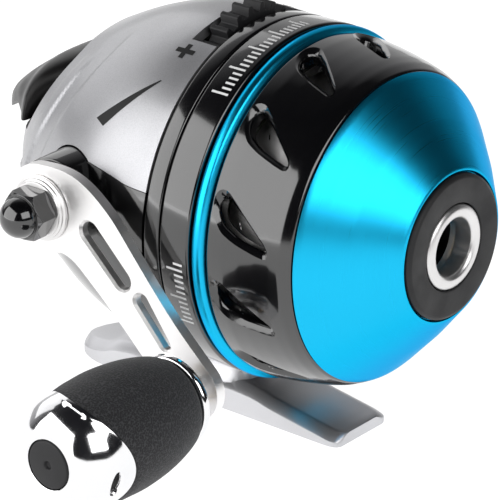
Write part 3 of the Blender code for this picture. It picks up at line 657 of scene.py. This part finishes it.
def build_marks():
    """Plain printed marks: graduation ticks on the band, plus and minus by the dial, a dark accent."""
    ticks = []
    for start, end in ((-26.0, -2.0), (52.0, 96.0)):
        count = int((end - start) / 2.0)
        for i in range(count):
            a = start + (end - start) * i / count
            end_s = 7.4 if i % 5 == 0 else 5.9
            corners = [(a, 4.0), (a + 0.75, 4.0), (a + 0.75, end_s), (a, end_s)]
            ticks.append(patch(corners, band_surface, steps=2))
    piece("band_ticks", merge(ticks), "frame", [], "silver_paint", material=PRINT_WHITE)

    def on_shell(corners, steps):
        return patch(corners, shell_surface, steps=steps)

    signs = [on_shell([(60.2, 16.8), (66.2, 16.8), (66.2, 17.7), (60.2, 17.7)], 6),
             on_shell([(62.3, 15.4), (64.1, 15.4), (64.1, 19.1), (62.3, 19.1)], 4),
             on_shell([(113.8, 16.8), (119.8, 16.8), (119.8, 17.7), (113.8, 17.7)], 6)]
    accent = on_shell([(31.6, 25.4), (50.6, 17.6), (50.8, 17.8), (33.6, 27.6)], 20)
    mirrored = on_shell([(148.4, 25.4), (129.4, 17.6), (129.2, 17.8), (146.4, 27.6)], 20)
    piece("shell_marks", merge(signs + [accent, mirrored]), "frame", [], "matte_black",
          material=PRINT_BLACK)


# ---------------------------------------------------------------- foot
def build_foot():
    """Foot plate with bevelled edges and a stem that meets the housing."""
    stations = [(-10.2, 6.0, 2.0), (-9.9, 6.6, 2.15), (-9.2, 7.1, 2.35), (-8.0, 7.35, 2.55), (-6.0, 7.4, 2.9),
                (4.0, 7.4, 4.4), (12.0, 7.4, 5.6), (37.0, 7.4, 5.4), (43.0, 7.4, 4.1), (45.6, 7.05, 3.6),
                (47.6, 6.3, 3.2), (49.2, 5.3, 2.85), (50.4, 3.9, 2.55), (51.1, 2.5, 2.3), (51.4, 1.2, 2.2)]
    sections = []
    for s, half, thick in curve_through(stations, 4):
        low, high = -AXIS_H, -AXIS_H + thick
        c = min(2.2, half * 0.5)
        drop = min(c * 0.55, thick * 0.5)
        edge = [(half - 0.2, low), (half, low + 0.2), (half, high - drop - 0.15),
                (half - 0.25, high - drop + 0.1), (half - c + 0.25, high - 0.07), (half - c - 0.3, high)]
        loop = [(x, s, z) for x, z in edge] + [(-x, s, z) for x, z in reversed(edge)]
        sections.append(loop)
    foot = loft(sections)
    levels = []
    for z, grow in ((-37.0, 1.3), (-35.4, 1.2), (-34.4, 0.55), (-33.2, 0.1), (-31.0, 0.0), (-25.0, 0.0)):
        loop = []
        for i in range(56):
            a = 2 * math.pi * i / 56
            x = (6.0 + grow) * math.copysign(abs(math.cos(a)) ** 0.5, math.cos(a))
            s = 24.5 + (12.5 + grow) * math.copysign(abs(math.sin(a)) ** 0.6, math.sin(a))
            loop.append((min(7.2, max(-7.2, x)), s, z))
        levels.append(loop)
    room = turned([(0, 0.0)] + [(r + 0.25, s if s > 13 else 0.0) for s, r in SHELL] + [(0, 57.0)], seg=96)
    foot = join(foot, cut(loft(levels), room))
    foot = cut(foot, upright(1.7, -36.8, -20, 24.0), upright(1.7, -36.8, -20, 33.0))
    piece("reel_foot_cast", foot, "frame", ["reel_foot"], "cast_aluminium", sharp=28)


# ---------------------------------------------------------------- crank
def arm_outline():
    """Outline of the arm round a spine of (s, z, half width), with a round cap at each end."""
    spine = curve_through([(30.5, 3.0, 7.6), (25.4, 3.0, 7.5), (20.4, 0.6, 6.7), (15.2, -4.2, 6.0),
                           (10.0, -9.4, 5.5), (4.6, -14.8, 5.3), (KNOB[1], KNOB[2], 5.4)], 8)
    upper, lower = [], []
    for i, (s, z, half) in enumerate(spine):
        a = Vector(spine[max(i - 1, 0)][:2])
        b = Vector(spine[min(i + 1, len(spine) - 1)][:2])
        way = (b - a).normalized()
        side = Vector((way.y, -way.x))
        upper.append(Vector((s, z)) - side * half)
        lower.append(Vector((s, z)) + side * half)

    def cap(centre, half, first, count):
        c = Vector(centre)
        start = math.atan2((first - c).y, (first - c).x)
        angles = [start + math.pi * i / count for i in range(1, count)]
        return [c + half * Vector((math.cos(a), math.sin(a))) for a in angles]

    knob_end = cap(spine[-1][:2], spine[-1][2], lower[-1], 24)
    shaft_end = cap(spine[0][:2], spine[0][2], upper[0], 28)
    return [tuple(p) for p in lower + knob_end + upper[::-1] + shaft_end]


def slot_outline(start, end, r0, r1, grow, count=14):
    """Rounded slot from one end radius to the other, with both radii grown by the same amount."""
    a, b = Vector(start), Vector(end)
    base = math.atan2((b - a).y, (b - a).x)
    points = []
    for middle, radius, first in ((a, r0 + grow, base + math.pi / 2), (b, r1 + grow, base - math.pi / 2)):
        for i in range(count + 1):
            turn = first + math.pi * i / count
            points.append(middle + radius * Vector((math.cos(turn), math.sin(turn))))
    return [tuple(p) for p in points]


def build_crank():
    """Slotted arm, stepped washer and domed nut."""
    arm = prism(arm_outline(), -33.6, -35.6, "X")
    slots = []
    for start, end, r0, r1 in (((20.2, 1.1), (13.2, -5.6), 1.85, 1.75),
                               ((9.0, -8.4), (3.9, -14.6), 1.4, 0.95)):
        loops = []
        for x, grow in ((-30.0, 0.9), (-33.7, 0.3), (-33.9, 0.0), (-35.15, 0.0), (-35.7, 0.5),
                        (-37.0, 1.4)):
            loops.append([(x, s, z) for s, z in slot_outline(start, end, r0, r1, grow)])
        slots.append(loft(loops))
    arm = cut(arm, *slots, rod(2.7, -40, -30, "X", CRANK, 32), rod(2.5, -40, -30, "X", KNOB, 32))
    piece("crank_arm_polished", arm, "crank", ["crank_arm"], "polished_aluminium",
          bevel=0.28, sharp=30)

    washer = soften([(2.7, -35.7), (5.75, -35.7), (5.75, -36.25), (5.3, -36.35), (5.3, -36.7),
                     (4.9, -36.8), (4.9, -37.1), (2.7, -37.1)], 0.1, 2)
    piece("arm_washer_stepped", turned(washer, "X", CRANK), "crank", ["arm_washer"], "satin_steel")

    corner = 4.62
    hexagon = [(CRANK[1] + corner * math.cos(math.pi * i / 3), CRANK[2] + corner * math.sin(math.pi * i / 3))
               for i in range(6)]
    chamfers = [(0, -37.1), (4.3, -37.1), (4.75, -37.5), (4.75, -40.3), (3.9, -41.1), (0, -41.1)]
    limit = turned(chamfers, "X", CRANK)
    head = keep(prism(hexagon, -37.15, -41.1, "X"), limit)
    arc = []
    for i in range(1, 15):
        turn = math.pi / 2 * i / 14
        arc.append((3.55 * math.sin(turn), -41.2 - 3.4 * math.cos(turn)))
    dome = turned([(0, -44.6)] + arc + [(3.55, -39.0), (0, -39.0)], "X", CRANK, 72)
    nut = cut(join(head, dome), rod(2.7, -41.6, -36, "X", CRANK, 32))
    piece("acorn_nut_black", nut, "crank", ["acorn_nut"], "gloss_black", bevel=0.12, sharp=30)


# ---------------------------------------------------------------- knob
def cap_edge(turn):
    """Station where the grip meets the end cap: the cap reaches inwards in two lobes."""
    return KNOB_TIP + 7.3 + 2.7 * math.cos(2 * (turn - CAP_LOBE))


def cap_oval(turn, radius, half_long, half_wide):
    """Oval loop wrapped round the knob's axis at a radius."""
    loop = []
    for i in range(36):
        a = 2 * math.pi * i / 36
        here = turn + half_long * math.cos(a) / GRIP_R
        x = RECESS_X + half_wide * math.sin(a)
        loop.append((x, KNOB[1] + radius * math.cos(here), KNOB[2] + radius * math.sin(here)))
    return loop


def grip_outline():
    """Rising curve of the foam from the arm end towards the end cap, as (radius, x)."""
    return curve_through([(7.4, -42.0), (8.4, -43.1), (9.35, -46.0), (10.15, -50.0), (10.6, -55.0),
                          (10.5, -59.0)], 8)


def build_knob():
    """Foam grip, chrome end cap with two oval recesses and painted shade at their bottoms, dimpled plug and
    chrome base ring.
    """
    outline = [tuple(p) for p in grip_outline()]

    def grip(turn):
        edge = cap_edge(turn) + 0.12
        rows = [(3.9, -42.0), (6.9, -41.95)] + outline
        last = outline[-1][1]
        for i in range(1, 7):
            share = i / 6
            rows.append((10.5 - 0.32 * share ** 1.6, last + (edge + 0.25 - last) * share))
        return rows + [(10.05, edge), (8.6, edge + 0.1), (8.4, -59.0), (3.9, -59.0)]

    foam_piece = piece("knob_grip_foam", turned(grip, "X", KNOB, 128), "knob", ["knob_grip"],
                       "black_foam", sharp=50)

    def cap_shape(turn):
        edge = cap_edge(turn) - 0.1
        side = [(10.1, edge), (9.95, edge - 0.5), (9.75, -66.0 if edge > -65.4 else edge - 0.7)]
        outer = [(4.35, -66.4), (4.35, -70.75), (4.7, -70.95), (5.5, -70.75), (6.5, -70.3), (7.5, -69.5),
                 (8.3, -68.6), (8.95, -67.75), (9.35, -67.1)]
        return outer + side[::-1] + [(8.6, edge + 0.05), (8.1, -59.4), (3.9, -59.4), (3.9, -66.4)]

    cap = turned(cap_shape, "X", KNOB, 160)
    for lobe in (CAP_LOBE, CAP_LOBE + math.pi):
        rows = ((8.9, 0.0), (9.6, 0.02), (9.9, 0.25), (10.15, 0.6), (10.8, 1.5))
        cap = cut(cap, loft([cap_oval(lobe, radius, 2.3 + grow, 1.15 + grow) for radius, grow in rows]))
    piece("knob_cap_chrome", cap, "knob", ["knob_cap"], "chrome", sharp=45)

    # Thin near-black sheets at the bottom of the two oval recesses: painted shade that makes the recesses
    # read dark.
    recess = []
    for lobe in (CAP_LOBE, CAP_LOBE + math.pi):
        recess.append(loft([cap_oval(lobe, radius, 2.25, 1.1) for radius in (8.7, 8.98)]))
    piece("knob_cap_recess_painted_shade", merge(recess), "knob", [], "matte_black", material=BORE_PAINTED_SHADE)

    plug = soften([(0, -70.5), (0.55, -70.5), (0.75, -70.95), (1.1, -71.0), (3.9, -70.9), (4.2, -70.6),
                   (4.2, -66.9), (0, -66.9)], 0.12, 2)
    piece("knob_plug_dimpled", turned(plug, "X", KNOB, 72), "knob", ["knob_plug"], "matte_black")
    base = soften([(3.3, -41.7), (7.6, -41.7), (8.0, -41.3), (8.0, -40.4), (7.2, -39.8), (5.4, -39.6),
                   (3.3, -39.6)], 0.3, 4)
    piece("knob_base_chrome", turned(base, "X", KNOB), "knob", ["knob_base_ring"], "chrome")


# ---------------------------------------------------------------- what shows through the vents
def build_rotor():
    """Spinner head, spool and the line wound on it."""
    head = soften([(1.8, -12.9), (18.6, -12.6), (21.6, -11.0), (23.0, -8.0), (23.7, -6.0), (23.7, 0.6),
                   (22.5, 0.6), (22.5, -6.2), (21.7, -8.6), (20.6, -10.4), (18.4, -11.4), (6.0, -11.5),
                   (6.0, -7.0), (1.8, -7.0)], 0.5, 4)
    head = cut(turned(head, seg=160), rod(1.45, 18, 26, "X", (0, -4.0, 0), 28))
    piece("spinner_head_turned", head, "head", ["spinner_head"], "satin_steel",
          sharp=35, material=HEAD_STEEL)

    spool = soften([(8.5, -2.9), (20.8, -2.9), (21.2, -2.4), (20.6, -1.8), (12.2, -1.6), (12.2, 6.4),
                    (24.0, 6.6), (24.5, 7.3), (24.0, 8.0), (8.5, 8.0)], 0.25, 3)
    piece("spool_polished", turned(spool, seg=144), "spool_body", ["spool"], "polished_aluminium")
    rows = [(12.5, -1.2), (18.2, -1.2)]
    for i in range(57):
        s = -1.0 + 6.9 * i / 56
        crown = 19.4 - 1.0 * ((s - 2.4) / 3.5) ** 2
        rows.append((crown - (0.09 if i % 2 else 0.0), s))
    rows += [(18.2, 6.1), (12.5, 6.1)]
    piece("line_winding_coils", turned(rows), "spool_body", ["line_winding"], "clear_line", sharp=70)


def build_dial():
    """Drag dial with rounded ribs; the ring of ribs shows in the slot at the top of the shell."""
    outline = []
    ribs = 24
    rib = ((11.1, -0.30), (11.25, -0.25), (12.3, -0.17), (12.55, -0.11), (12.6, 0.0),
           (12.55, 0.11), (12.3, 0.17), (11.25, 0.25), (11.1, 0.30))
    for i in range(ribs):
        middle = -math.pi / 2 + math.pi / ribs + 2 * math.pi * i / ribs
        for radius, offset in rib:
            angle = middle + offset * 2 * math.pi / ribs
            outline.append((radius * math.cos(angle), DIAL[2] + radius * math.sin(angle)))
    dial = cut(prism(outline, 13.3, 17.1, "S"), rod(1.6, 10, 20, centre=DIAL, seg=32))
    piece("drag_dial_ribbed", dial, "dial", ["drag_dial"], "matte_black", bevel=0.18, sharp=35)


# ---------------------------------------------------------------- thumb button
def build_button():
    """Beak-shaped push button: it starts inside the slanting mouth and narrows to a tip behind."""
    floor_z = 6.9
    count = 41

    def arc_loop(front, inset):
        loop = []
        for i in range(count):
            t = i / (count - 1)
            radius = 20.0
            turn = 0.0
            station = front
            for _ in range(12):
                low = math.asin(min(0.95, floor_z / radius))
                turn = low + (math.pi - 2 * low) * t
                station = front + (23.0 - radius * math.sin(turn)) * 0.5
                radius = shell_radius(station) - inset
            loop.append((radius * math.cos(turn), station, radius * math.sin(turn)))
        return loop

    def beak_loop(middle, half, top, base, lean):
        loop = []
        for i in range(count):
            a = math.pi * i / (count - 1)
            x = half * math.copysign(abs(math.cos(a)) ** 0.75, math.cos(a))
            z = base + (top - base) * math.sin(a) ** 0.85
            loop.append((x, middle + (top - z) * lean, z))
        return loop

    beak = [(52.4, 15.4, 17.0, 6.6, 0.12), (56.6, 12.0, 14.4, 6.4, 0.06), (60.6, 9.0, 11.7, 6.5, 0.0),
            (64.0, 6.3, 9.2, 4.8, 0.0), (66.8, 3.9, 7.0, 2.7, 0.0), (68.8, 1.9, 5.0, 2.0, 0.0)]
    keys = [arc_loop(44.4, 2.4)] + [beak_loop(*row) for row in beak]
    tracks = [curve_through([loop[i] for loop in keys], 6) for i in range(count)]
    sections = [arc_loop(41.6, 2.9), arc_loop(42.4, 2.4)]
    sections += [[tuple(track[k]) for track in tracks] for k in range(len(tracks[0]))]
    piece("thumb_button_gloss", loft(sections), "button", ["thumb_button"], "gloss_black",
          bevel=0.35, sharp=45, material=BUTTON_BLACK)


# ---------------------------------------------------------------- stage, light and camera
def stage_plane():
    """Large pale floor that glows slightly, so that it stays white far from the lights."""
    bm = bmesh.new()
    bmesh.ops.create_grid(bm, x_segments=8, y_segments=8, size=6.0)
    mesh = bpy.data.meshes.new("floor")
    bm.to_mesh(mesh)
    bm.free()
    floor = bpy.data.objects.new("floor", mesh)
    floor.location = (0, 0, FLOOR_Z)
    bpy.context.scene.collection.objects.link(floor)
    mat, tree, shader, place = new_material("pale_floor")
    shader.inputs["Roughness"].default_value = 0.9
    shader.inputs["Specular IOR Level"].default_value = 0.0
    grain = link_noise(tree, place, 3.0)
    tone = ramp(tree, grain.outputs["Fac"], [(0.3, (0.29, 0.29, 0.29)), (0.7, (0.31, 0.31, 0.31))])
    tree.links.new(tone.outputs["Color"], shader.inputs["Base Color"])
    shader.inputs["Emission Color"].default_value = (1, 1, 1, 1)
    shader.inputs["Emission Strength"].default_value = 0.95
    mesh.materials.append(mat)


def softbox(name, azimuth, elevation, distance, width, height, power):
    """Area light aimed at the reel; azimuth is from -Y towards +X."""
    a, e = math.radians(azimuth), math.radians(elevation)
    way = Vector((math.sin(a) * math.cos(e), -math.cos(a) * math.cos(e), math.sin(e)))
    lamp = bpy.data.lights.new(name, "AREA")
    lamp.shape = "RECTANGLE"
    lamp.size = width
    lamp.size_y = height
    lamp.energy = power
    item = bpy.data.objects.new(name, lamp)
    item.location = Vector(LIGHT_AIM) + way * distance
    item.rotation_euler = way.to_track_quat("Z", "Y").to_euler()
    item.visible_camera = False
    bpy.context.scene.collection.objects.link(item)


def build_world():
    """White behind the reel and dark overhead and behind the camera; plain white to the camera."""
    world = bpy.data.worlds.new("studio")
    bpy.context.scene.world = world
    world.use_nodes = True
    tree = world.node_tree
    out = tree.nodes["World Output"]
    room = tree.nodes["Background"]
    plain = tree.nodes.new("ShaderNodeBackground")
    plain.inputs["Color"].default_value = (1, 1, 1, 1)
    plain.inputs["Strength"].default_value = 1.0
    place = tree.nodes.new("ShaderNodeTexCoord")
    toward = tree.nodes.new("ShaderNodeVectorMath")
    toward.operation = "DOT_PRODUCT"
    toward.inputs[1].default_value = (0.72, 0.69, 0.0)
    tree.links.new(place.outputs["Generated"], toward.inputs[0])
    tone = ramp(tree, toward.outputs["Value"],
                [(0.0, (0.012, 0.012, 0.014)), (0.35, (0.03, 0.03, 0.032)),
                 (0.75, (0.40, 0.40, 0.41)), (1.0, (0.62, 0.62, 0.62))])
    tree.links.new(tone.outputs["Color"], room.inputs["Color"])
    paths = tree.nodes.new("ShaderNodeLightPath")
    mix = tree.nodes.new("ShaderNodeMixShader")
    tree.links.new(paths.outputs["Is Camera Ray"], mix.inputs["Fac"])
    tree.links.new(room.outputs["Background"], mix.inputs[1])
    tree.links.new(plain.outputs["Background"], mix.inputs[2])
    tree.links.new(mix.outputs["Shader"], out.inputs["Surface"])


def build_camera():
    """Camera in front of the reel, to its left and above, as the photograph was taken."""
    data = bpy.data.cameras.new("camera")
    data.sensor_width = 36.0
    data.lens = CAMERA_LENS
    data.clip_start = 0.02
    data.clip_end = 50.0
    cam = bpy.data.objects.new("camera", data)
    right, up, back = CAMERA_RIGHT, CAMERA_UP, -CAMERA_FORWARD
    cam.matrix_world = Matrix(((right.x, up.x, back.x, CAMERA_AT[0]), (right.y, up.y, back.y, CAMERA_AT[1]),
                               (right.z, up.z, back.z, CAMERA_AT[2]), (0, 0, 0, 1)))
    bpy.context.scene.collection.objects.link(cam)
    bpy.context.scene.camera = cam


build_cover()
build_body()
build_marks()
build_foot()
build_crank()
build_knob()
build_rotor()
build_dial()
build_button()
stage_plane()
softbox("left_box", azimuth=-116, elevation=22, distance=1.2, width=1.65, height=1.1, power=15.0)
softbox("front_box", azimuth=-16, elevation=29, distance=1.3, width=1.15, height=0.75, power=7.5)
softbox("rear_box", azimuth=165, elevation=28, distance=1.3, width=1.2, height=0.8, power=2.5)
build_world()
build_camera()
bpy.context.scene.view_settings.view_transform = "Standard"
